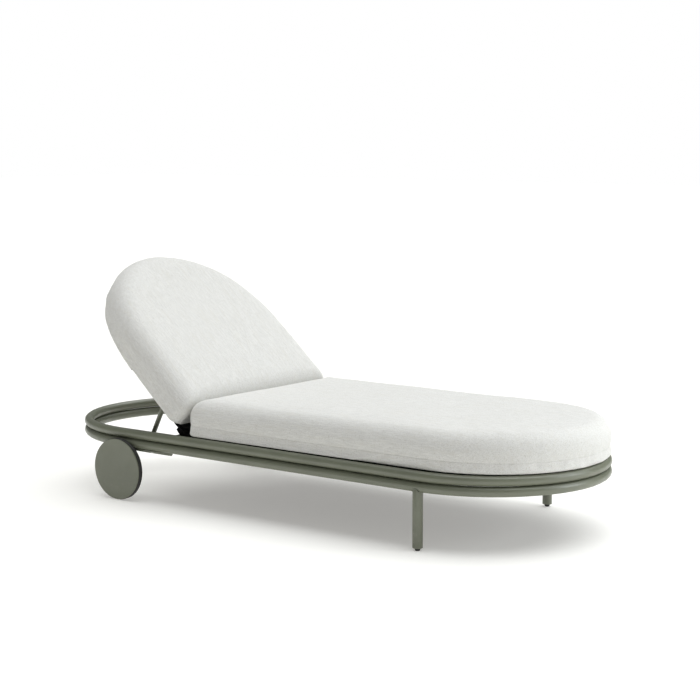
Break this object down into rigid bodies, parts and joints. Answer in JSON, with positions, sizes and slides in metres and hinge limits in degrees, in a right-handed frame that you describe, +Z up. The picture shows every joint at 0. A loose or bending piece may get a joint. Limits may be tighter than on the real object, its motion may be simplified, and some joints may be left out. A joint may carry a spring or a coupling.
{
  "type": "reclining sun lounger",
  "caption": "Low sun lounger with a twin-rail tube frame, two wheels at the head, a propped adjustable back and thick off-white cushions.",
  "frame": {"origin": "on the floor, under the middle of the lounger's plan outline", "axes": "+X runs along the lounger to its foot end, +Y is the sitter's left, +Z is up; the wheels and the raised back are at -X"},
  "size_m": [2.019, 0.832, 0.7925],
  "materials": {
    "sage_paint": "satin powder coat",
    "black_paint": "satin powder coat",
    "cushion_fabric": "slubby outdoor weave",
    "black_sling": "open coated mesh",
    "tyre_rubber": "matte",
    "nylon": "moulded matte",
    "stainless": "plain"
  },
  "bodies": {
    "frame": {"rail_upper": "sage_paint", "rail_lower": "sage_paint", "leg_left": "sage_paint", "leg_right": "sage_paint", "glide_left": "nylon", "glide_right": "nylon", "crossbar_hinge": "black_paint", "crossbar_head": "sage_paint", "crossbar_middle": "sage_paint", "crossbar_foot": "sage_paint", "seat_hoop": "black_paint", "seat_sling": "black_sling", "seat_cushion": "cushion_fabric", "hinge_bracket_left": "black_paint", "hinge_bracket_right": "black_paint", "hinge_pin_left": "black_paint", "hinge_pin_right": "black_paint", "hinge_nut_left": "black_paint", "hinge_nut_right": "black_paint", "rack_plate_left": "sage_paint", "rack_plate_right": "sage_paint", "rack_mount_left": "sage_paint", "rack_mount_right": "sage_paint", "rack_bolt_front_left": "stainless", "rack_bolt_front_right": "stainless", "rack_bolt_rear_left": "stainless", "rack_bolt_rear_right": "stainless", "wheel_bracket_left": "sage_paint", "wheel_bracket_right": "sage_paint", "axle_left": "stainless", "axle_right": "stainless", "axle_nut_left": "stainless", "axle_nut_right": "stainless", "axle_clip_left": "stainless", "axle_clip_right": "stainless"},
    "backrest": {"back_hoop": "black_paint", "back_sling": "black_sling", "hinge_lug_left": "black_paint", "hinge_lug_right": "black_paint", "hinge_washer_left": "nylon", "hinge_washer_right": "nylon", "stay_lug_left": "black_paint", "stay_lug_right": "black_paint"},
    "back_cushion": {"back_cushion": "cushion_fabric", "back_hood": "cushion_fabric"},
    "stay": {"stay_arm_left": "sage_paint", "stay_arm_right": "sage_paint", "stay_pin_left": "stainless", "stay_pin_right": "stainless", "stay_collar_left": "nylon", "stay_collar_right": "nylon", "stay_rod": "sage_paint"},
    "wheel_left": {"wheel_cover_left": "sage_paint", "wheel_core_left": "nylon", "wheel_tyre_left": "tyre_rubber", "wheel_bush_left": "nylon"},
    "wheel_right": {"wheel_cover_right": "sage_paint", "wheel_core_right": "nylon", "wheel_tyre_right": "tyre_rubber", "wheel_bush_right": "nylon"}
  },
  "joints": [
    {"name": "back_recline", "type": "hinge", "parent": "frame", "child": "backrest", "pos_m": [-0.3464, 0, 0.227], "axis": [0, 1, 0], "range_deg": [-41.5, 8.5]},
    {"name": "cushion_slide", "type": "slide", "parent": "backrest", "child": "back_cushion", "axis": [-0.749, 0, 0.6626], "range_m": [-0.0682, 0.0142]},
    {"name": "stay_swing", "type": "hinge", "parent": "backrest", "child": "stay", "pos_m": [-0.47203, 0, 0.33281], "axis": [0, 1, 0], "range_deg": [-19.2, 93]},
    {"name": "wheel_left_spin", "type": "hinge", "parent": "frame", "child": "wheel_left", "pos_m": [-0.6035, 0.4065, 0.105], "axis": [0, 1, 0], "continuous": true},
    {"name": "wheel_right_spin", "type": "hinge", "parent": "frame", "child": "wheel_right", "pos_m": [-0.6035, -0.4065, 0.105], "axis": [0, 1, 0], "continuous": true}
  ],
  "couplings": [
    {"joint": "cushion_slide", "follows": "back_recline", "m_per_rad": 0.093883},
    {"joint": "stay_swing", "follows": "back_recline", "ratio": -2.2351}
  ]
}
